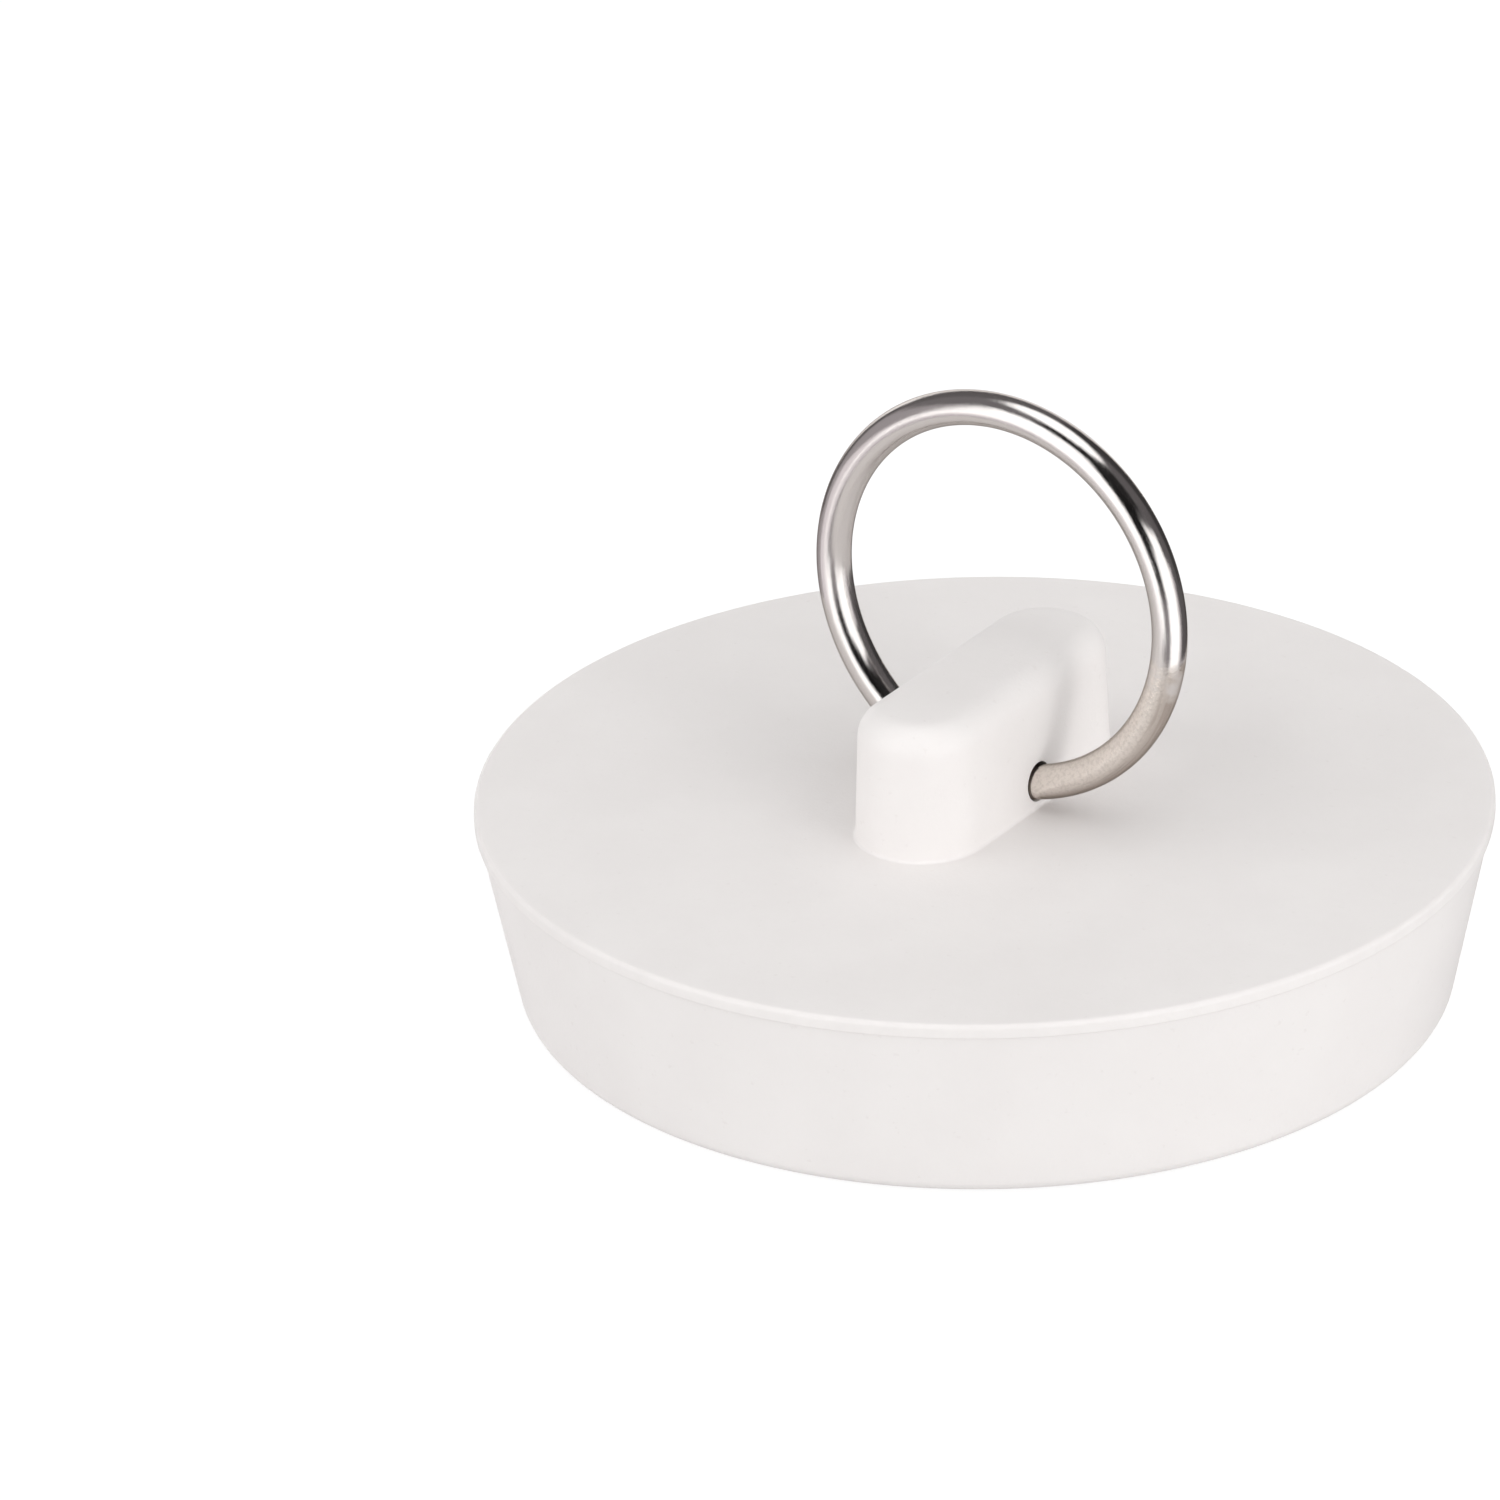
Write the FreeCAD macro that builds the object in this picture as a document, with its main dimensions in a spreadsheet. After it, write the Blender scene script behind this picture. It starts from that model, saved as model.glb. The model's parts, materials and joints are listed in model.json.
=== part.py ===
import FreeCAD, Part
import math
import os

import Sketcher

# A moulded rubber drain stopper with a steel pull ring, in millimetres.
# +Z is up, and the origin is at the centre of the rim that the stopper stands on.
# The grip lug runs along Y, with the eye for the ring across its foot, along X.
# The ring stands off the eye's middle, so its wire lies askew in the eye. It swings about the eye's axis, the line
# between the two points where the wire's centre passes the lug's sides, which dips towards +X by the same slant.

Vector = FreeCAD.Vector
Line = Part.LineSegment
Constraint = Sketcher.Constraint

# Two lengths this close are the same one, when an edge is looked up.
SAME = 1e-4
# A fillet takes up at most this share of the wall that it rounds.
FILLET_SHARE = 0.4

# The driving sizes: name in the sheet, value, and what it measures.
SIZES = [
    ("lip_diameter", 48.0, "over the thin lip round the top face"),
    ("lip_overhang", 0.17, "how far the lip stands out from the skirt"),
    ("lip_thickness", 0.7, "height of the lip's edge"),
    ("lip_round", 0.25, "radius on the lip's top edge"),
    ("body_height", 9.6, "from the rim to the top face"),
    ("skirt_taper", 1.78, "how far the skirt draws in from the lip to the rim, on the radius"),
    ("rim_width", 2.75, "between the skirt and the hollow, at the rim"),
    ("rim_round", 0.8, "radius on both edges of the rim"),
    ("hollow_depth", 4.35, "of the hollow underside"),
    ("hollow_taper", 1.1, "how far the hollow draws in towards its ceiling, on the radius"),
    ("hollow_round", 0.4, "radius where the hollow's wall meets its ceiling"),
    ("lug_length", 16.9, "along Y at the foot"),
    ("lug_width", 6.25, "along X at the foot"),
    ("lug_height", 6.5, "above the top face"),
    ("lug_draft", 2.2, "angle by which the lug's sides lean in, in degrees"),
    ("lug_round", 1.4, "radius on the lug's top edge"),
    ("lug_foot_round", 0.15, "radius where the lug meets the top face"),
    ("ring_diameter", 18.48, "of the wire's centre line"),
    ("wire_diameter", 1.67, "of the ring's wire"),
    ("ring_shift", 0.86, "how far the ring stands off the eye's middle, along X"),
    ("ring_lean", 2.0, "how far the ring leans from upright, towards +Y, in degrees"),
    ("eye_clearance", 0.06, "round the wire in the eye"),
    ("eye_sill", 0.08, "rubber between the top face and the eye"),
]

# Sizes worked out from those above: name in the sheet and formula.
WORKED_OUT = [
    ("lip_radius", "=lip_diameter / 2"),
    ("skirt_radius", "=lip_radius - lip_overhang"),
    ("rim_radius", "=skirt_radius - skirt_taper"),
    ("mouth_radius", "=rim_radius - rim_width"),
    ("ceiling_radius", "=mouth_radius - hollow_taper"),
    ("lip_underside", "=body_height - lip_thickness"),
    ("lip_edge_round", f"=min(lip_round; {FILLET_SHARE} * lip_thickness)"),
    ("rim_edge_round", f"=min(rim_round; {FILLET_SHARE} * rim_width)"),
    ("lug_end_radius", "=lug_width / 2"),
    ("lug_end_place", "=(lug_length - lug_width) / 2"),
    ("lug_top", "=body_height + lug_height"),
    ("lug_edge_round", f"=min(lug_round; {FILLET_SHARE} * min(lug_width; lug_height))"),
    ("ring_radius", "=ring_diameter / 2"),
    ("wire_radius", "=wire_diameter / 2"),
    ("wire_low", "=body_height + eye_sill + eye_clearance + wire_radius"),
    ("right_rise", "=ring_radius - sqrt(ring_radius ^ 2 - (lug_width / 2 - ring_shift) ^ 2)"),
    ("left_rise", "=ring_radius - sqrt(ring_radius ^ 2 - (lug_width / 2 + ring_shift) ^ 2)"),
    ("eye_height", "=wire_low + (left_rise + right_rise) / 2"),
    ("eye_dip", "=atan((left_rise - right_rise) / lug_width)"),
    ("ring_stand", "=ring_radius - (left_rise + right_rise) / 2"),
    ("ring_swing", "=sqrt(ring_shift ^ 2 + ring_stand ^ 2)"),
    ("eye_belly_radius", "=ring_radius + wire_radius + eye_clearance"),
    ("eye_reach", "=(lug_width + wire_radius) / 2"),
    ("ring_x", "=ring_shift * cos(ring_lean)"),
    ("ring_y", "=ring_swing * sin(ring_lean)"),
    ("ring_z", "=eye_height + ring_stand * cos(ring_lean)"),
    ("ring_turn", "=90 - ring_lean"),
]

doc = FreeCAD.newDocument("drain_stopper")


def make_sheet():
    """The sheet of sizes: one row each, with the size's name as its alias."""
    made = doc.addObject("Spreadsheet::Sheet", "Sizes")
    rows = [(name, str(value), note) for name, value, note in SIZES]
    rows += [(name, formula, "") for name, formula in WORKED_OUT]
    for row, (name, content, note) in enumerate(rows, start=1):
        made.set("A%d" % row, name)
        made.set("B%d" % row, content)
        made.setAlias("B%d" % row, name)
        made.set("C%d" % row, note)
    doc.recompute()
    return made


sheet = make_sheet()


def size(name):
    """A value in the sheet, for a first position or to look up an edge."""
    return float(sheet.get(name))


def bind(thing, prop, name):
    """Ties a property to a size in the sheet."""
    thing.setExpression(prop, "Sizes." + name)


def new_sketch(body, name, plane, height=None):
    """A sketch on one of the body's own origin planes, raised by a size in the sheet."""
    sketch = body.newObject("Sketcher::SketchObject", name)
    support = [item for item in body.Origin.OriginFeatures if item.Role == plane][0]
    sketch.AttachmentSupport = [(support, "")]
    sketch.MapMode = "FlatFace"
    if height:
        # Up is the sketch's own Y axis on the XZ plane, and its normal on the XY plane.
        up = "y" if plane == "XZ_Plane" else "z"
        bind(sketch, "AttachmentOffset.Base." + up, height)
    return sketch


def dimension(sketch, label, constraint, name):
    """Adds a named dimension and ties it to a size in the sheet."""
    index = sketch.addConstraint(constraint)
    sketch.renameConstraint(index, label)
    bind(sketch, "Constraints." + label, name)


def join_ends(sketch, kind, pieces):
    """Joins each piece's end to the next one's start, round a closed outline."""
    for piece, follower in zip(pieces, pieces[1:] + pieces[:1]):
        sketch.addConstraint(Constraint(kind, piece, 2, follower, 1))


def arc(x, y, radius, start, end):
    """An arc about a centre, from one angle anticlockwise to another."""
    circle = Part.Circle(Vector(x, y, 0), Vector(0, 0, 1), radius)
    return Part.ArcOfCircle(circle, start, end)


def feature(body, kind, name, **values):
    """A feature of the body with plain property values."""
    made = body.newObject("PartDesign::" + kind, name)
    for prop, value in values.items():
        setattr(made, prop, value)
    return made


def near(a, b):
    return abs(a - b) < SAME


def level_at(box, height):
    """Whether an edge's box lies flat at a height."""
    return near(box.ZMin, height) and near(box.ZMax, height)


def circle_at(radius, height):
    """A test for the level circle with that radius and height."""
    return lambda box: level_at(box, height) and near(box.XMax, radius)


def lug_edge_at(height):
    """A test for the lug's own level edges at that height."""
    reach = size("lug_length") / 2
    return lambda box: level_at(box, height) and box.YMax < reach + SAME


def round_edges(body, name, base, wanted, radius):
    """A fillet on those edges of a feature that a test picks, with its radius from the sheet."""
    doc.recompute()
    found = [i for i, edge in enumerate(base.Shape.Edges, start=1) if wanted(edge.BoundBox)]
    fillet = feature(body, "Fillet", name, Base=(base, ["Edge%d" % i for i in found]))
    bind(fillet, "Radius", radius)
    return fillet


def plug_profile(body):
    """Half section of the plug: hollow, rim, tapered skirt, lip and top face."""
    corners = [
        (None, "hollow_depth"),
        ("ceiling_radius", "hollow_depth"),
        ("mouth_radius", None),
        ("rim_radius", None),
        ("skirt_radius", "lip_underside"),
        ("lip_radius", "lip_underside"),
        ("lip_radius", "body_height"),
        (None, "body_height"),
    ]
    sketch = new_sketch(body, "PlugProfile", "XZ_Plane")
    points = [Vector(size(x) if x else 0, size(z) if z else 0, 0) for x, z in corners]
    sides = [sketch.addGeometry(Line(p, q)) for p, q in zip(points, points[1:] + points[:1])]
    join_ends(sketch, "Coincident", sides)
    for side, (x, z) in zip(sides, corners):
        if x:
            dimension(sketch, "x%d" % side, Constraint("DistanceX", -1, 1, side, 1, size(x)), x)
        else:
            sketch.addConstraint(Constraint("PointOnObject", side, 1, -2))
        if z:
            dimension(sketch, "z%d" % side, Constraint("DistanceY", -1, 1, side, 1, size(z)), z)
        else:
            sketch.addConstraint(Constraint("PointOnObject", side, 1, -1))
    return sketch


def lug_outline(body):
    """Foot of the grip lug: straight sides along Y and round ends."""
    radius = size("lug_end_radius")
    place = size("lug_end_place")
    sketch = new_sketch(body, "LugOutline", "XY_Plane", "body_height")
    far_end = sketch.addGeometry(arc(0, place, radius, 0, math.pi))
    left_side = sketch.addGeometry(Line(Vector(-radius, place, 0), Vector(-radius, -place, 0)))
    near_end = sketch.addGeometry(arc(0, -place, radius, math.pi, 2 * math.pi))
    right_side = sketch.addGeometry(Line(Vector(radius, -place, 0), Vector(radius, place, 0)))
    join_ends(sketch, "Tangent", [far_end, left_side, near_end, right_side])
    sketch.addConstraint(Constraint("Equal", far_end, near_end))
    for end in (far_end, near_end):
        sketch.addConstraint(Constraint("PointOnObject", end, 3, -2))
    dimension(sketch, "far", Constraint("DistanceY", -1, 1, far_end, 3, place), "lug_end_place")
    dimension(sketch, "near", Constraint("DistanceY", near_end, 3, -1, 1, place), "lug_end_place")
    dimension(sketch, "end", Constraint("Radius", far_end, radius), "lug_end_radius")
    return sketch


def eye_profile(body):
    """Half section of the eye along its axis: bellied, as the curved wire sweeps it when the ring swings."""
    reach = size("eye_reach")
    swing = size("ring_swing")
    radius = size("eye_belly_radius")
    half_turn = math.asin(reach / radius)
    sketch = new_sketch(body, "EyeProfile", "XZ_Plane", "eye_height")
    sketch.setExpression("AttachmentOffset.Rotation.Angle", "-Sizes.eye_dip")
    outline = arc(0, swing, radius, -math.pi / 2 - half_turn, -math.pi / 2 + half_turn)
    left, right = outline.StartPoint, outline.EndPoint
    belly = sketch.addGeometry(outline)
    right_end = sketch.addGeometry(Line(right, Vector(reach, 0, 0)))
    axis = sketch.addGeometry(Line(Vector(reach, 0, 0), Vector(-reach, 0, 0)))
    left_end = sketch.addGeometry(Line(Vector(-reach, 0, 0), left))
    join_ends(sketch, "Coincident", [belly, right_end, axis, left_end])
    for end in (1, 2):
        sketch.addConstraint(Constraint("PointOnObject", axis, end, -1))
    sketch.addConstraint(Constraint("PointOnObject", belly, 3, -2))
    sketch.addConstraint(Constraint("Vertical", right_end))
    sketch.addConstraint(Constraint("Vertical", left_end))
    dimension(sketch, "right", Constraint("DistanceX", -1, 1, axis, 1, reach), "eye_reach")
    dimension(sketch, "left", Constraint("DistanceX", axis, 2, -1, 1, reach), "eye_reach")
    dimension(sketch, "swing", Constraint("DistanceY", -1, 1, belly, 3, swing), "ring_swing")
    dimension(sketch, "belly", Constraint("Radius", belly, radius), "eye_belly_radius")
    return sketch


def make_stopper_body():
    """The rubber moulding: a tapered plug, hollow below, with a grip lug that has an eye for the ring."""
    body = doc.addObject("PartDesign::Body", "StopperBody")
    body.Label = "stopper_body"

    profile = plug_profile(body)
    plug = feature(body, "Revolution", "Plug", Profile=profile, ReferenceAxis=(profile, ["V_Axis"]))
    rim_edge = circle_at(size("rim_radius"), 0)
    mouth_edge = circle_at(size("mouth_radius"), 0)
    lip_edge = circle_at(size("lip_radius"), size("body_height"))
    ceiling_edge = circle_at(size("ceiling_radius"), size("hollow_depth"))
    rim = round_edges(body, "RimRound", plug, lambda box: rim_edge(box) or mouth_edge(box), "rim_edge_round")
    lip = round_edges(body, "LipRound", rim, lip_edge, "lip_edge_round")
    round_edges(body, "HollowRound", lip, ceiling_edge, "hollow_round")

    lug = feature(body, "Pad", "Lug", Profile=lug_outline(body))
    bind(lug, "Length", "lug_height")
    lug.setExpression("TaperAngle", "-Sizes.lug_draft")
    top = round_edges(body, "LugRound", lug, lug_edge_at(size("lug_top")), "lug_edge_round")
    foot = round_edges(body, "LugFoot", top, lug_edge_at(size("body_height")), "lug_foot_round")

    section = eye_profile(body)
    eye = feature(body, "Groove", "Eye", Profile=section, ReferenceAxis=(section, ["H_Axis"]), Angle=360)
    doc.recompute()
    check_cut(foot, eye)
    return body


def check_cut(before, after):
    """Stops if a cut took no rubber away."""
    if after.Shape.Volume > before.Shape.Volume - SAME:
        raise RuntimeError("%s cuts nothing" % after.Label)


def make_pull_ring():
    """The steel ring: one turn of round wire, closed, through the eye."""
    ring = doc.addObject("Part::Torus", "PullRing")
    ring.Label = "pull_ring"
    bind(ring, "Radius1", "ring_radius")
    bind(ring, "Radius2", "wire_radius")
    # Upright, the ring's centre stands square to the eye's axis, and the ring leans about that axis.
    centre = "vector(Sizes.ring_x; Sizes.ring_y; Sizes.ring_z)"
    turn = "rotation(vector(0; 1; 0); Sizes.eye_dip) * rotation(vector(1; 0; 0); Sizes.ring_turn)"
    ring.setExpression("Placement", "placement(%s; %s)" % (centre, turn))
    return ring


def check_document():
    """Stops if any object failed to rebuild."""
    for item in doc.Objects:
        bad = {"Invalid", "Error"} & set(item.State)
        if bad:
            raise RuntimeError("%s is %s" % (item.Label, ", ".join(sorted(bad))))


def check_pieces(pieces):
    """Stops unless every piece is one valid solid."""
    for piece in pieces:
        shape = piece.Shape
        if shape.isNull() or not shape.isValid() or len(shape.Solids) != 1:
            raise RuntimeError("%s isn't one valid solid" % piece.Label)


pieces = [make_stopper_body(), make_pull_ring()]
doc.recompute()
check_document()
check_pieces(pieces)

os.makedirs("parts", exist_ok=True)
for piece in pieces:
    piece.Shape.exportStep("parts/%s.step" % piece.Label)
    print(piece.Label, "volume %.1f mm3" % piece.Shape.Volume)
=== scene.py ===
import json
import math

import bmesh
import bpy
from mathutils import Matrix, Vector

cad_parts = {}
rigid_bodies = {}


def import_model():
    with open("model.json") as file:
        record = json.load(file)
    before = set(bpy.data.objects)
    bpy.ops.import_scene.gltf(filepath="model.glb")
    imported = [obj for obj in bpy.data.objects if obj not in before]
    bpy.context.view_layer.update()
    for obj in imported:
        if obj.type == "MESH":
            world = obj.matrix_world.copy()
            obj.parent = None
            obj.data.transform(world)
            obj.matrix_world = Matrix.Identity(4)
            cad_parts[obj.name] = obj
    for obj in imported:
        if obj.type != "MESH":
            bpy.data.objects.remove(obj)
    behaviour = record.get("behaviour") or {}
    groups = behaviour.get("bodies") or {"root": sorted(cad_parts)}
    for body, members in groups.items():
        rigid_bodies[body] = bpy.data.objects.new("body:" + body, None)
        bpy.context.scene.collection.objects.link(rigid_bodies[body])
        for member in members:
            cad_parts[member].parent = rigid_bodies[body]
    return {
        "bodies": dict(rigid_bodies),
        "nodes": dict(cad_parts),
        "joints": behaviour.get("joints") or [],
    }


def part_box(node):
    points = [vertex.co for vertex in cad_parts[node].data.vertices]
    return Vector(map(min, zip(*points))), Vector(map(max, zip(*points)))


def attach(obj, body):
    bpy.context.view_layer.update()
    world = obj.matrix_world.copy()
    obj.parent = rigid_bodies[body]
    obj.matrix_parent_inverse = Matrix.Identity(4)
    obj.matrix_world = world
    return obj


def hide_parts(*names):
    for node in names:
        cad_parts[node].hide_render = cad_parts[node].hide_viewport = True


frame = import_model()

# A moulded white rubber drain stopper with a steel pull ring, in metres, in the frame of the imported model.
# +Z is up, the grip lug runs along Y, and the ring's eye goes through the lug near its foot, along X.

MM = 0.001
UP = Vector((0, 0, 1))
WHITE = (1, 1, 1)

# Plug
LIP_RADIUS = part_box("stopper_body")[1].x
TOP = 9.6 * MM
LIP_UNDERSIDE = 8.9 * MM
LIP_ROUND = 0.25 * MM
LIP_LOWER_ROUND = 0.1 * MM
LIP_OVERHANG = 0.17 * MM
SKIRT_RADIUS = LIP_RADIUS - LIP_OVERHANG
SKIRT_ROOT_ROUND = 0.06 * MM
SKIRT_TAPER = 1.78 * MM
RIM_RADIUS = SKIRT_RADIUS - SKIRT_TAPER
RIM_WIDTH = 2.75 * MM
RIM_ROUND = 0.8 * MM
MOUTH_RADIUS = RIM_RADIUS - RIM_WIDTH
HOLLOW_TAPER = 1.1 * MM
CEILING = 4.35 * MM
CEILING_RADIUS = MOUTH_RADIUS - HOLLOW_TAPER
CEILING_ROUND = 0.4 * MM

# Uneven trimmed edge of the lip: its depth, and the count round the lip, phase and share of each wave
LIP_WAVE = 0.035 * MM
LIP_WAVES = (
    (3, 0.4, 0.22),
    (7, 2.1, 0.2),
    (17, 0.9, 0.16),
    (41, 3.3, 0.14),
    (67, 1.7, 0.12),
    (113, 4.2, 0.1),
    (151, 0.2, 0.06),
)

# Grip lug
LUG_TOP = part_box("stopper_body")[1].z
LUG_HALF_WIDTH = 3.125 * MM
LUG_HALF_RUN = 5.325 * MM
LUG_DRAFT = math.radians(2.2)
LUG_ROUND = 1.4 * MM
FOOT_ROUND = 0.15 * MM

# Eye, about the joint's axis
JOINT = frame["joints"][0]
EYE_MIDDLE = Vector(JOINT["pos_m"])
EYE_AXIS = Vector(JOINT["axis"]).normalized()
EYE_ACROSS = Vector((0, 1, 0))
EYE_UP = EYE_AXIS.cross(EYE_ACROSS)
EYE_CLEARANCE = 0.035 * MM
EYE_MOUTH_ROUND = 0.02 * MM

# Ring; its reach is how far its centre stands from the joint's axis
RING_RADIUS = 9.24 * MM
WIRE_RADIUS = 0.83 * MM
RING_LEAN = math.radians(2.0)
RING_REACH = math.sqrt(RING_RADIUS ** 2 - (LUG_HALF_WIDTH / EYE_AXIS.x) ** 2)

# Mesh density
SIDE_COLUMNS = 96
END_COLUMNS = 88
LONGEST_ROW = 0.45 * MM
ARC_ROWS = 10
EYE_STEPS = 90
EYE_SIDES = 96
WIRE_STEPS = 720
WIRE_SIDES = 64
CREASE = math.radians(40)
SAME_POINT = 1e-8

# Rubber colours, in linear light
RUBBER_DULL = (0.795, 0.766, 0.754)
RUBBER_PALE = (0.809, 0.781, 0.769)
RUBBER_SPECK = (0.74, 0.705, 0.69)
# Painted shade that dims the lit band of the lip's edge
RUBBER_LIP_SHADE = (0.772, 0.743, 0.731)

# Rubber noises: scale, detail and roughness
CLOUDS = (180, 4, 0.6)
SPECKS = (2600, 2, 0.5)
# Noise that breaks up the painted shade on the lip's edge
LIP_SHADE_NOISE = (1000, 3, 0.6)
SWELL = (420, 2, 0.5)
GRAIN = (5200, 3, 0.6)

# Rubber finish: where each noise begins and ends to show, how strongly, and the depth of the relief
CLOUDS_SHOW = (0.35, 0.68)
SPECKS_SHOW = (0.66, 0.78)
SPECK_SHARE = 0.5
# Painted shade on the lip's edge: where its noise shows, how strongly, and the radii over which it comes in
LIP_SHADE_SHOW = (0.3, 0.7)
LIP_SHADE_SHARES = (0.4, 1)
LIP_SHADE_EDGE = (LIP_RADIUS - 0.2 * MM, LIP_RADIUS - 0.08 * MM)
GLOSS_SHOW = (0.3, 0.7)
RUBBER_ROUGHNESS = (0.52, 0.62)
RUBBER_SPECULAR = 0.4
SWELL_DEPTH = 0.04 * MM
GRAIN_DEPTH = 0.012 * MM

# Steel colours, in linear light
STEEL_BRIGHT = (0.70, 0.668, 0.65)
STEEL_WORN = (0.80, 0.745, 0.69)
# Tarnish streaks, and also painted shade on the worn stretch's outer side
STEEL_TARNISH_AND_SHADE = (0.47, 0.41, 0.37)
STEEL_PIT = (0.50, 0.45, 0.41)
STEEL_EDGE = (0.45, 0.42, 0.40)

# Steel noises: scale, detail and roughness; lines and streaks are also stretched along and round the wire
WIRE_NOISE = (3, 3, 0.6)
LINE_STRETCH = (14, 60)
STREAK_STRETCH = (5, 9)
PITS = (7000, 2, 0.6)
RAGGED = (500, 3, 0.5)

# Steel finish; the worn stretch is given as shares of the ring's turn, from outside it to inside it
WORN_START = (0.735, 0.75)
WORN_END = (0.995, 0.975)
WORN_SHIFT = 0.02
RAGGED_SHOW = (0.3, 0.7)
WORN_OUTSIDE = (0.2, 0.65)
WORN_SHARES = (0.35, 1)
# Painted shade on the worn stretch's outer side: where it comes in round the wire, and how strongly
OUTSIDE_SHADE_SPAN = (0.0, 0.95)
OUTSIDE_SHADE_SHARE = 0.8
STREAKS_SHOW = (0.48, 0.66)
STREAK_SHARE = 0.4
PITS_SHOW = (0.42, 0.66)
PIT_SHARE = 0.35
LINES_SHOW = (0.35, 0.7)
STEEL_ROUGHNESS = (0.10, 0.18)
WORN_ROUGHNESS = 0.05
STEEL_DEPTH = 0.004 * MM

# Camera, as fitted to the photograph
TARGET = Vector((0, 0, TOP))
CAMERA_DISTANCE = 0.48
CAMERA_ELEVATION = math.radians(26.16)
CAMERA_ROLL = math.radians(-0.80)
CAMERA_HEADING = math.radians(57.0)
CAMERA_CLIP = (0.01, 10)
IMAGE_SIZE = 1500
FOCAL_PIXELS = 10212
TARGET_PIXEL = (983.9, 790.6)
SENSOR = 36.0

# Directions of the studio, seen from the object: to the camera, and to the camera's right
TO_CAMERA = Vector((math.cos(CAMERA_HEADING), -math.sin(CAMERA_HEADING), 0))
TO_RIGHT = Vector((math.sin(CAMERA_HEADING), math.cos(CAMERA_HEADING), 0))

# Lamps: name, azimuth, elevation, distance, width, height, share of light on a surface that faces it
LAMPS = (
    ("key_right", 35, 8, 0.60, 0.12, 0.10, 0.18),
    ("soft_right", 36, 16, 0.60, 0.34, 0.26, 0.135),
    ("side_right", 62, 18, 0.60, 0.52, 0.40, 0.118),
    ("high_right", 60, 62, 0.60, 0.52, 0.40, 0.11),
    ("rim_right", 100, 35, 0.60, 0.52, 0.40, 0.076),
    ("overhead", -60, 83, 0.70, 0.62, 0.62, 0.095),
    ("fill_left", -50, 15, 0.60, 0.40, 0.34, 0.155),
    ("side_left", -85, 20, 0.60, 0.40, 0.36, 0.295),
)
AMBIENT = 0.60

# Floor: its grey, its glow to the eye and to the object, and the radii between which it turns white
FLOOR_RADIUS = 2.4
FLOOR_SIDES = 96
FLOOR_DROP = 0.02 * MM
FLOOR_SHADE = 0.28
FLOOR_GLOW = 0.78
FLOOR_BOUNCE = 0.49
FLOOR_FADE = (0.09, 0.30)

# Walls and light panels that show only in reflections; the first in the list stand in front.
# Each has a name, its azimuth from and to, its elevation from and to, and its brightness.
PANEL = 1.65
WALL_TINT = (1.0, 0.94, 0.97)
CARD_DISTANCE = 1.0
CARD_STEP = 0.01
CARD_COLUMNS = 48
CARD_ROWS = 12
CARDS = (
    ("left_panel", -70, -27, -20, 37, PANEL),
    ("right_panel", 5, 66, -32, 14, PANEL),
    ("right_panel_top", 17, 64, 14, 29, PANEL),
    ("back_panel", 154, 212, -10, 18, PANEL),
    ("top_panel", -180, 180, 65, 89, PANEL),
    ("left_shoulder", -100, -46, -31, -5, 0.95),
    ("right_shoulder", 66, 80, -30, 12, 0.75),
    ("front_high", -50, 50, 37, 63, 0.02),
    ("front_middle", -27, 26, 6, 37, 0.01),
    ("front_low", -27, 5, -8, 6, 0.05),
    ("front_foot", -46, 5, -32, -8, 0.34),
    ("right_dark", 112, 154, -8, 62, 0.06),
    ("right_wall", 26, 154, -30, 65, 0.14),
    ("back_top", 140, 236, 18, 65, 0.15),
    ("back_foot", 154, 186, -34, -10, 0.24),
    ("left_band", -146, -126, -16, 46, 0.16),
    ("left_high", -126, -50, 22, 65, 0.20),
    ("left_wall", -126, -70, -5, 22, 0.42),
    ("left_foot", -174, -100, -31, -5, 0.50),
    ("table", -180, 180, -89, -28, 0.60),
)


# Helpers

def turned(first, second, angle):
    """The first of two square directions, turned by an angle towards the second."""
    return math.cos(angle) * first + math.sin(angle) * second


def direction(azimuth, elevation):
    """The way from the object, by degrees from the camera towards its right and degrees above the floor."""
    level = turned(TO_CAMERA, TO_RIGHT, math.radians(azimuth))
    return turned(level, UP, math.radians(elevation))


def add_object(name, data):
    made = bpy.data.objects.new(name, data)
    bpy.context.scene.collection.objects.link(made)
    return made


def finished_mesh(name, bm):
    mesh = bpy.data.meshes.new(name)
    bm.to_mesh(mesh)
    bm.free()
    return mesh


def weld(mesh):
    """Joins points that lie in one place, and drops the faces that this leaves empty."""
    bm = bmesh.new()
    bm.from_mesh(mesh)
    bmesh.ops.remove_doubles(bm, verts=bm.verts, dist=SAME_POINT)
    bm.to_mesh(mesh)
    bm.free()


def mesh_from_rows(name, rows, closed_ends=False):
    """A mesh of quads between rows of points that each go once round."""
    bm = bmesh.new()
    grid = [[bm.verts.new(point) for point in row] for row in rows]
    for upper, lower in zip(grid, grid[1:]):
        for i in range(len(upper)):
            j = (i + 1) % len(upper)
            bm.faces.new((upper[i], upper[j], lower[j], lower[i]))
    if closed_ends:
        bm.faces.new(grid[0])
        bm.faces.new(grid[-1])
    bmesh.ops.remove_doubles(bm, verts=bm.verts, dist=SAME_POINT)
    bmesh.ops.recalc_face_normals(bm, faces=bm.faces)
    return finished_mesh(name, bm)


def round_corner(before, corner, after, radius):
    """Points of the arc that rounds a corner between two straight runs."""
    back = (before - corner).normalized()
    ahead = (after - corner).normalized()
    half = back.angle(ahead) / 2
    reach = radius / math.tan(half)
    middle = corner + (back + ahead).normalized() * (radius / math.sin(half))
    start = (corner + back * reach - middle).normalized()
    end = (corner + ahead * reach - middle).normalized()
    return [middle + radius * start.slerp(end, i / ARC_ROWS) for i in range(ARC_ROWS + 1)]


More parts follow.
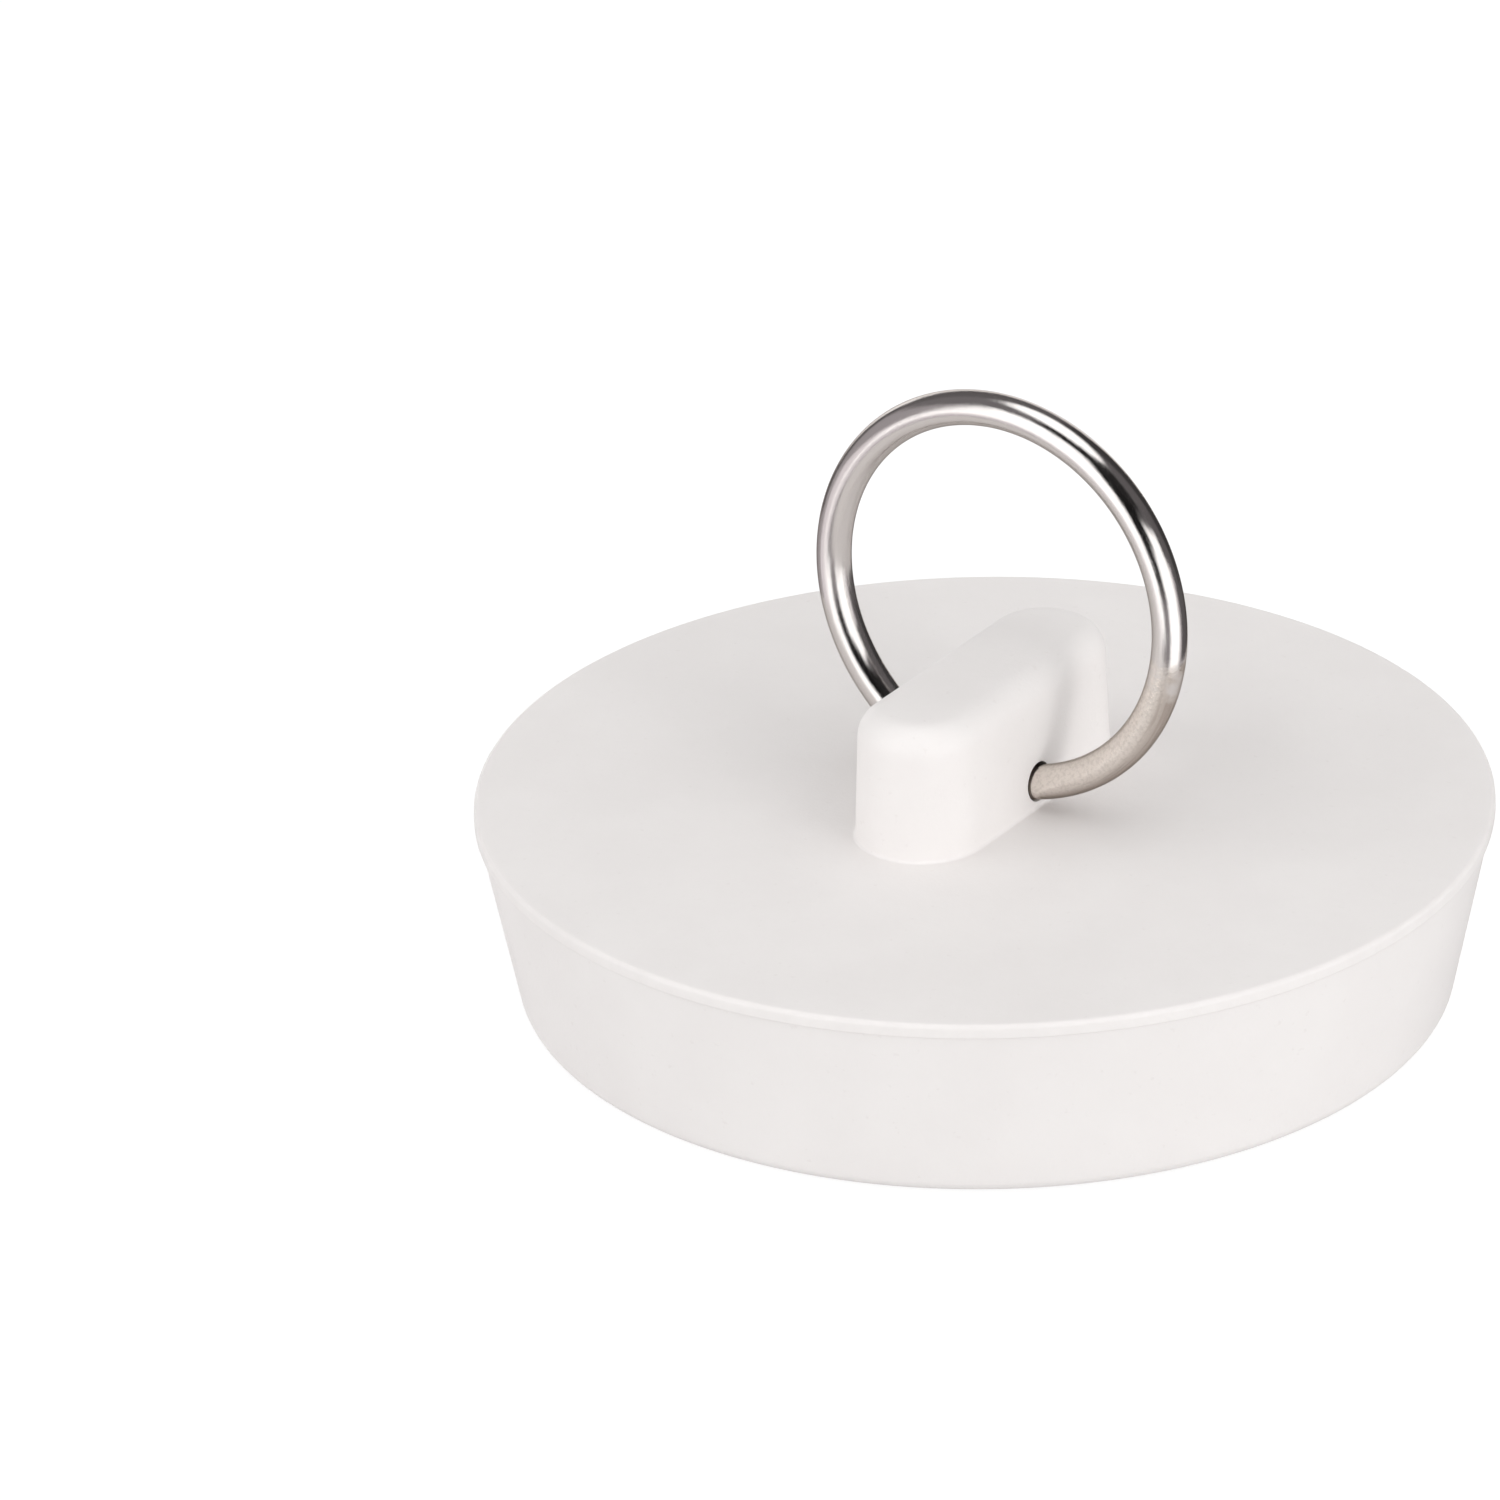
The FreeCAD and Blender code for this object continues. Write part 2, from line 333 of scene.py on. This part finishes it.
def rounded(corners):
    """Profile through corners (across, up, radius): arcs at the corners, and even steps between them."""
    spots = [Vector((across, up)) for across, up, radius in corners]
    points = [spots[0]]
    for i in range(1, len(corners) - 1):
        points += round_corner(spots[i - 1], spots[i], spots[i + 1], corners[i][2])
    points.append(spots[-1])
    profile = [points[0]]
    for p, q in zip(points, points[1:]):
        steps = max(1, math.ceil((q - p).length / LONGEST_ROW))
        profile += [p.lerp(q, i / steps) for i in range(1, steps + 1)]
    return profile


# Rubber body

def lug_columns():
    """Each column's point on the lug's middle line, its way out from there, and its turn on the plug."""
    spine = []
    for end, turn in ((LUG_HALF_RUN, 0.0), (-LUG_HALF_RUN, math.pi)):
        for k in range(SIDE_COLUMNS):
            spine.append((-end + 2 * end * k / SIDE_COLUMNS, turn))
        for k in range(END_COLUMNS):
            spine.append((end, turn + math.pi * k / END_COLUMNS))
    columns = []
    for i, (along, turn) in enumerate(spine):
        angle = 2 * math.pi * (i - SIDE_COLUMNS / 2) / len(spine)
        outward = Vector((math.cos(turn), math.sin(turn), 0))
        columns.append((Vector((0, along, 0)), outward, angle))
    return columns


def lip_wave(angle):
    """How far the lip's trimmed edge stands back from a true circle at an angle, from 0 to 1."""
    return 0.5 + 0.5 * sum(share * math.sin(count * angle + phase) for count, phase, share in LIP_WAVES)


def plug_point(angle, across, up):
    """A point on the plug; the lip's edge gets its small unevenness."""
    on_lip = min(1.0, max(0.0, (across - SKIRT_RADIUS) / LIP_OVERHANG))
    across -= on_lip * LIP_WAVE * lip_wave(angle)
    return Vector((across * math.cos(angle), across * math.sin(angle), up))


def body_rows():
    """Rows of the moulding, from the lug's ridge over the plug to the middle of the hollow's ceiling."""
    columns = lug_columns()
    half_at_top = LUG_HALF_WIDTH - (LUG_TOP - TOP) * math.tan(LUG_DRAFT)
    lug = rounded([
        (0, LUG_TOP, 0),
        (half_at_top, LUG_TOP, LUG_ROUND),
        (LUG_HALF_WIDTH, TOP, FOOT_ROUND),
        (LUG_HALF_WIDTH + 2 * FOOT_ROUND, TOP, 0),
    ])
    plug = rounded([
        (LIP_RADIUS - 2 * LIP_ROUND, TOP, 0),
        (LIP_RADIUS, TOP, LIP_ROUND),
        (LIP_RADIUS, LIP_UNDERSIDE, LIP_LOWER_ROUND),
        (SKIRT_RADIUS, LIP_UNDERSIDE, SKIRT_ROOT_ROUND),
        (RIM_RADIUS, 0, RIM_ROUND),
        (MOUTH_RADIUS, 0, RIM_ROUND),
        (CEILING_RADIUS, CEILING, CEILING_ROUND),
        (0, CEILING, 0),
    ])
    rows = [[spine + out * p.x + UP * p.y for spine, out, angle in columns] for p in lug]
    outer = [[plug_point(angle, p.x, p.y) for spine, out, angle in columns] for p in plug]
    foot = rows[-1]
    steps = math.ceil((LIP_RADIUS - LUG_HALF_WIDTH) / LONGEST_ROW)
    for k in range(1, steps):
        rows.append([a.lerp(b, k / steps) for a, b in zip(foot, outer[0])])
    return rows + outer


def eye_cutter():
    """The room that the wire sweeps in the eye, with small flares that round the eye's two mouths."""
    outer = RING_RADIUS + WIRE_RADIUS + EYE_CLEARANCE
    mouth = LUG_HALF_WIDTH - (EYE_MIDDLE.z - TOP) * math.tan(LUG_DRAFT)
    end = LUG_HALF_WIDTH + WIRE_RADIUS / 2
    rows = []
    for k in range(-EYE_STEPS, EYE_STEPS + 1):
        along = end * k / EYE_STEPS
        depth = max(0.0, abs(along) - (mouth - EYE_MOUTH_ROUND)) / EYE_MOUTH_ROUND
        flare = EYE_MOUTH_ROUND * (1 - math.sqrt(max(0.0, 1 - min(1.0, depth) ** 2)))
        radius = math.sqrt(outer ** 2 - min(abs(along), mouth) ** 2) - RING_REACH + flare
        middle = EYE_MIDDLE + EYE_AXIS * along
        turns = [2 * math.pi * i / EYE_SIDES for i in range(EYE_SIDES)]
        rows.append([middle + radius * turned(EYE_ACROSS, EYE_UP, turn) for turn in turns])
    return mesh_from_rows("eye_cutter", rows, closed_ends=True)


def cut_eye(body):
    """Cuts the eye through the lug and leaves a plain mesh."""
    cutter = add_object("eye_cutter", eye_cutter())
    cut = body.modifiers.new("Eye", "BOOLEAN")
    cut.operation = "DIFFERENCE"
    cut.solver = "EXACT"
    cut.object = cutter
    graph = bpy.context.evaluated_depsgraph_get()
    mesh = bpy.data.meshes.new_from_object(body.evaluated_get(graph))
    weld(mesh)
    body.modifiers.clear()
    whole = body.data
    body.data = mesh
    bpy.data.meshes.remove(whole)
    bpy.data.objects.remove(cutter)


def make_body():
    body = add_object("rubber_moulding", mesh_from_rows("rubber_moulding", body_rows()))
    cut_eye(body)
    body.data.shade_smooth()
    body.data.set_sharp_from_angle(angle=CREASE)
    body.data.materials.append(rubber())
    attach(body, "stopper")
    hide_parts("stopper_body")


# Steel ring

def make_ring():
    """The wire ring, with its length along the wire and its turn round the wire as texture coordinates."""
    stand = turned(EYE_UP, EYE_ACROSS, RING_LEAN)
    face = EYE_AXIS.cross(stand)
    centre = EYE_MIDDLE + RING_REACH * stand
    bm = bmesh.new()
    uv = bm.loops.layers.uv.new("wire")
    grid = []
    for i in range(WIRE_STEPS):
        out = turned(EYE_AXIS, stand, 2 * math.pi * i / WIRE_STEPS)
        middle = centre + out * RING_RADIUS
        spins = [2 * math.pi * j / WIRE_SIDES for j in range(WIRE_SIDES)]
        grid.append([bm.verts.new(middle + WIRE_RADIUS * turned(out, face, spin)) for spin in spins])
    for i in range(WIRE_STEPS):
        for j in range(WIRE_SIDES):
            corners = ((i, j), (i + 1, j), (i + 1, j + 1), (i, j + 1))
            made = bm.faces.new([grid[a % WIRE_STEPS][b % WIRE_SIDES] for a, b in corners])
            for loop, (a, b) in zip(made.loops, corners):
                loop[uv].uv = (a / WIRE_STEPS, b / WIRE_SIDES)
    bmesh.ops.recalc_face_normals(bm, faces=bm.faces)
    mesh = finished_mesh("wire_ring", bm)
    mesh.shade_smooth()
    ring = add_object("wire_ring", mesh)
    mesh.materials.append(steel())
    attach(ring, "ring")
    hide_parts("pull_ring")


# Materials

class Nodes:
    """Short calls for building one node tree."""

    def __init__(self, tree):
        self.tree = tree

    def put(self, value, socket):
        """Links a socket to another node's output, or sets it to a number, a vector or a colour."""
        if isinstance(value, bpy.types.NodeSocket):
            self.tree.links.new(value, socket)
        elif socket.type == "RGBA":
            socket.default_value = (*value, 1)
        else:
            socket.default_value = value

    def fill(self, node, inputs):
        for name, value in inputs.items():
            self.put(value, node.inputs[name])

    def add(self, kind, output, inputs, **properties):
        """A new shader node with its properties and inputs; gives back one of its outputs."""
        made = self.tree.nodes.new("ShaderNode" + kind)
        for name, value in properties.items():
            setattr(made, name, value)
        self.fill(made, inputs)
        return made.outputs[output]

    def place(self, kind):
        """Texture coordinates of a kind."""
        return self.add("TexCoord", kind, {})

    def noise(self, place, scale, detail, roughness):
        inputs = {"Vector": place, "Scale": scale, "Detail": detail, "Roughness": roughness}
        return self.add("TexNoise", "Fac", inputs)

    def stretched(self, place, along, across):
        """Texture coordinates with their own scale in each direction."""
        return self.add("Mapping", "Vector", {"Vector": place, "Scale": (along, across, 1)})

    def off_axis(self, place):
        """Distance from the Z axis."""
        flat = self.add("VectorMath", "Vector", {0: place, 1: (1, 1, 0)}, operation="MULTIPLY")
        return self.add("VectorMath", "Value", {0: flat}, operation="LENGTH")

    def spread(self, value, span, low, high):
        """A level that eases from low to high while a value crosses its span."""
        inputs = {"Value": value, "From Min": span[0], "From Max": span[1], "To Min": low, "To Max": high}
        return self.add("MapRange", "Result", inputs, interpolation_type="SMOOTHSTEP")

    def maths(self, operation, first, second=0.0):
        return self.add("Math", "Value", {0: first, 1: second}, operation=operation)

    def mix(self, factor, first, second):
        """A colour between two. The node's colour sockets share names with others, so they go by number."""
        return self.add("Mix", 2, {"Factor": factor, 6: first, 7: second}, data_type="RGBA")

    def bump(self, height, depth, under=None):
        """Relief of a height, on top of another relief where one is given."""
        inputs = {"Height": height, "Distance": depth}
        if under is not None:
            inputs["Normal"] = under
        return self.add("Bump", "Normal", inputs)

    def seen_rays(self):
        """1 for rays from the camera, in a reflection or through glass, and 0 for the light on surfaces."""
        path = self.tree.nodes.new("ShaderNodeLightPath").outputs
        seen = self.maths("MAXIMUM", path["Is Camera Ray"], path["Is Glossy Ray"])
        return self.maths("MAXIMUM", seen, path["Is Transmission Ray"])


def new_material(name):
    """A material with Blender's standard shader, and the calls to build its nodes."""
    material = bpy.data.materials.new(name)
    material.use_nodes = True
    return material, Nodes(material.node_tree)


def rubber():
    """Matte white rubber: a fine moulded grain, faint cloudy patches, and painted shade along the lip's
    edge, broken up in noisy patches.
    """
    material, n = new_material("white_rubber_moulded")
    place = n.place("Object")
    clouds = n.noise(place, *CLOUDS)
    specks = n.spread(n.noise(place, *SPECKS), SPECKS_SHOW, 0, SPECK_SHARE)
    # Painted shade: the lip's edge is made a little darker in noisy patches, to dim its lit band
    lip_shade_patches = n.spread(n.noise(place, *LIP_SHADE_NOISE), LIP_SHADE_SHOW, *LIP_SHADE_SHARES)
    lip = n.spread(n.off_axis(place), LIP_SHADE_EDGE, 0, 1)
    cloudy = n.mix(n.spread(clouds, CLOUDS_SHOW, 0, 1), RUBBER_DULL, RUBBER_PALE)
    dusty = n.mix(specks, cloudy, RUBBER_SPECK)
    swell = n.bump(n.noise(place, *SWELL), SWELL_DEPTH)
    n.fill(n.tree.nodes["Principled BSDF"], {
        "Base Color": n.mix(n.maths("MULTIPLY", lip, lip_shade_patches), dusty, RUBBER_LIP_SHADE),
        "Roughness": n.spread(clouds, GLOSS_SHOW, *RUBBER_ROUGHNESS),
        "Specular IOR Level": RUBBER_SPECULAR,
        "Normal": n.bump(n.noise(place, *GRAIN), GRAIN_DEPTH, under=swell),
    })
    return material


def steel():
    """Drawn stainless wire: polished for most of its turn, and worn, streaked and tarnished by the eye, with
    painted shade on the worn stretch's outer side.
    """
    material, n = new_material("ring_steel_drawn")
    wire = n.place("UV")
    place = n.place("Object")
    along = n.add("SeparateXYZ", "X", {"Vector": wire})
    round_wire = n.add("SeparateXYZ", "Y", {"Vector": wire})
    lines = n.noise(n.stretched(wire, *LINE_STRETCH), *WIRE_NOISE)
    streaks = n.noise(n.stretched(wire, *STREAK_STRETCH), *WIRE_NOISE)
    pits = n.noise(place, *PITS)

    # The worn stretch has ragged ends, and shows most on the ring's outside.
    shift = n.spread(n.noise(place, *RAGGED), RAGGED_SHOW, -WORN_SHIFT, WORN_SHIFT)
    ragged = n.maths("ADD", along, shift)
    begun = n.spread(ragged, WORN_START, 0, 1)
    stretch = n.maths("MULTIPLY", begun, n.spread(ragged, WORN_END, 0, 1))
    outside = n.maths("COSINE", n.maths("MULTIPLY", round_wire, 2 * math.pi))
    worn = n.maths("MULTIPLY", stretch, n.spread(outside, WORN_OUTSIDE, *WORN_SHARES))

    # Painted shade: the worn stretch is darker towards the wire's outer side; random streaks add tarnish
    painted_outside_shade = n.spread(outside, OUTSIDE_SHADE_SPAN, 0, OUTSIDE_SHADE_SHARE)
    tarnish_and_shade = n.maths("ADD", painted_outside_shade, n.spread(streaks, STREAKS_SHOW, 0, STREAK_SHARE))
    pitted = n.maths("MULTIPLY", n.spread(pits, PITS_SHOW, 0, 1), stretch)
    clean = n.mix(stretch, STEEL_BRIGHT, STEEL_WORN)
    stained_and_shaded = n.mix(n.maths("MULTIPLY", tarnish_and_shade, worn), clean, STEEL_TARNISH_AND_SHADE)
    polish = n.spread(lines, LINES_SHOW, *STEEL_ROUGHNESS)
    drawn = n.bump(lines, STEEL_DEPTH)
    n.fill(n.tree.nodes["Principled BSDF"], {
        "Base Color": n.mix(n.maths("MULTIPLY", pitted, PIT_SHARE), stained_and_shaded, STEEL_PIT),
        "Metallic": 1.0,
        "Specular Tint": STEEL_EDGE,
        "Roughness": n.maths("ADD", polish, n.maths("MULTIPLY", worn, WORN_ROUGHNESS)),
        "Normal": n.bump(pitted, STEEL_DEPTH, under=drawn),
    })
    return material


def stage_material(name):
    """A material whose nodes are all still to be added, its output, and the calls to build them."""
    material, n = new_material(name)
    n.tree.nodes.clear()
    return material, n.tree.nodes.new("ShaderNodeOutputMaterial"), n


def floor_material():
    """Pale floor that takes the object's shadow near it and turns into the white background further out."""
    material, output, n = stage_material("pale_floor")
    seen = n.seen_rays()
    shade = n.add("BsdfDiffuse", "BSDF", {"Color": (FLOOR_SHADE, FLOOR_SHADE, FLOOR_SHADE)})
    glow_level = n.spread(seen, (0, 1), FLOOR_BOUNCE, FLOOR_GLOW)
    glow = n.add("Emission", "Emission", {"Strength": glow_level})
    near = n.add("AddShader", "Shader", {0: shade, 1: glow})
    far_level = n.spread(seen, (0, 1), FLOOR_SHADE + FLOOR_BOUNCE, 1)
    far = n.add("Emission", "Emission", {"Strength": far_level})
    fade = n.spread(n.off_axis(n.place("Object")), FLOOR_FADE, 0, 1)
    above = n.add("MixShader", "Shader", {"Fac": fade, 1: near, 2: far})
    # From below the floor is clear, so that the underside can be looked at.
    below = n.add("NewGeometry", "Backfacing", {})
    clear = n.add("BsdfTransparent", "BSDF", {})
    whole = n.add("MixShader", "Shader", {"Fac": below, 1: above, 2: clear})
    n.put(whole, output.inputs["Surface"])
    return material


def card_material(level):
    """A plain glow: white on the light panels, and slightly warm on the dimmer walls."""
    material, output, n = stage_material("studio_card")
    tint = WHITE if level == PANEL else WALL_TINT
    glow = n.add("Emission", "Emission", {"Color": [level * share for share in tint]})
    n.put(glow, output.inputs["Surface"])
    return material


# Studio

def make_floor():
    bm = bmesh.new()
    bmesh.ops.create_circle(bm, cap_ends=True, radius=FLOOR_RADIUS, segments=FLOOR_SIDES)
    for face in bm.faces:
        if face.normal.z < 0:
            face.normal_flip()
    mesh = finished_mesh("floor", bm)
    mesh.materials.append(floor_material())
    floor = add_object("floor", mesh)
    floor.location.z = -FLOOR_DROP
    # Metal shows the white background and the studio's panels instead.
    floor.visible_glossy = False


def make_card(distance, name, from_azimuth, to_azimuth, from_elevation, to_elevation, level):
    """A wall or a light panel of the studio, which shows only in reflections."""
    bm = bmesh.new()
    width = to_azimuth - from_azimuth
    height = to_elevation - from_elevation
    turns = [from_azimuth + width * j / CARD_COLUMNS for j in range(CARD_COLUMNS + 1)]
    grid = []
    for i in range(CARD_ROWS + 1):
        elevation = from_elevation + height * i / CARD_ROWS
        grid.append([bm.verts.new(direction(turn, elevation) * distance) for turn in turns])
    for lower, upper in zip(grid, grid[1:]):
        for j in range(CARD_COLUMNS):
            bm.faces.new((lower[j], lower[j + 1], upper[j + 1], upper[j]))
    mesh = finished_mesh(name, bm)
    mesh.materials.append(card_material(level))
    card = add_object(name, mesh)
    card.visible_camera = False
    card.visible_diffuse = False
    card.visible_transmission = False
    card.visible_shadow = False


def make_world():
    """White where it is seen, and a plain even light on the object."""
    world = bpy.data.worlds.new("studio")
    bpy.context.scene.world = world
    world.use_nodes = True
    n = Nodes(world.node_tree)
    n.fill(n.tree.nodes["Background"], {
        "Color": WHITE,
        "Strength": n.spread(n.seen_rays(), (0, 1), AMBIENT, 1),
    })


def make_lamp(name, azimuth, elevation, distance, width, height, share):
    """A soft area lamp whose light on a surface that faces it is a share of full white."""
    lamp = bpy.data.lights.new(name, "AREA")
    lamp.shape = "RECTANGLE"
    lamp.size = width
    lamp.size_y = height
    lamp.energy = math.pi ** 2 * distance ** 2 * share
    made = add_object(name, lamp)
    away = direction(azimuth, elevation)
    made.location = TARGET + away * distance
    made.rotation_mode = "QUATERNION"
    made.rotation_quaternion = (-away).to_track_quat("-Z", "Y")
    # The cards stand for the lamps in reflections.
    made.visible_glossy = False


def make_camera():
    """The photograph's camera, placed by its fitted angles and turned so that the target meets its pixel."""
    back = turned(TO_CAMERA, UP, CAMERA_ELEVATION)
    ahead = -back
    above = TO_RIGHT.cross(ahead)
    right = turned(TO_RIGHT, above, CAMERA_ROLL)
    up = turned(above, -TO_RIGHT, CAMERA_ROLL)
    middle = IMAGE_SIZE / 2
    target_right = (TARGET_PIXEL[0] - middle) / FOCAL_PIXELS
    target_up = (middle - TARGET_PIXEL[1]) / FOCAL_PIXELS
    wanted = Vector((target_right, target_up, 1))
    turn = wanted.rotation_difference(Vector((0, 0, 1))).to_matrix()
    axes = turn.transposed() @ Matrix((right, up, ahead))
    view = Matrix((axes[0], axes[1], -axes[2])).transposed().to_4x4()
    view.translation = TARGET + back * CAMERA_DISTANCE
    camera = bpy.data.cameras.new("camera")
    camera.sensor_width = SENSOR
    camera.lens = SENSOR * FOCAL_PIXELS / IMAGE_SIZE
    camera.clip_start, camera.clip_end = CAMERA_CLIP
    made = add_object("camera", camera)
    made.matrix_world = view
    bpy.context.scene.camera = made


def clear_default_scene():
    """Removes what a new Blender file holds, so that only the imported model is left."""
    kept = set(frame["bodies"].values()) | set(frame["nodes"].values())
    for item in list(bpy.context.scene.objects):
        if item not in kept:
            bpy.data.objects.remove(item)


clear_default_scene()
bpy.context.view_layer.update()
make_body()
make_ring()
make_floor()
for place, card in enumerate(CARDS):
    make_card(CARD_DISTANCE + CARD_STEP * place, *card)
make_world()
for lamp in LAMPS:
    make_lamp(*lamp)
make_camera()
bpy.context.scene.view_settings.view_transform = "Standard"
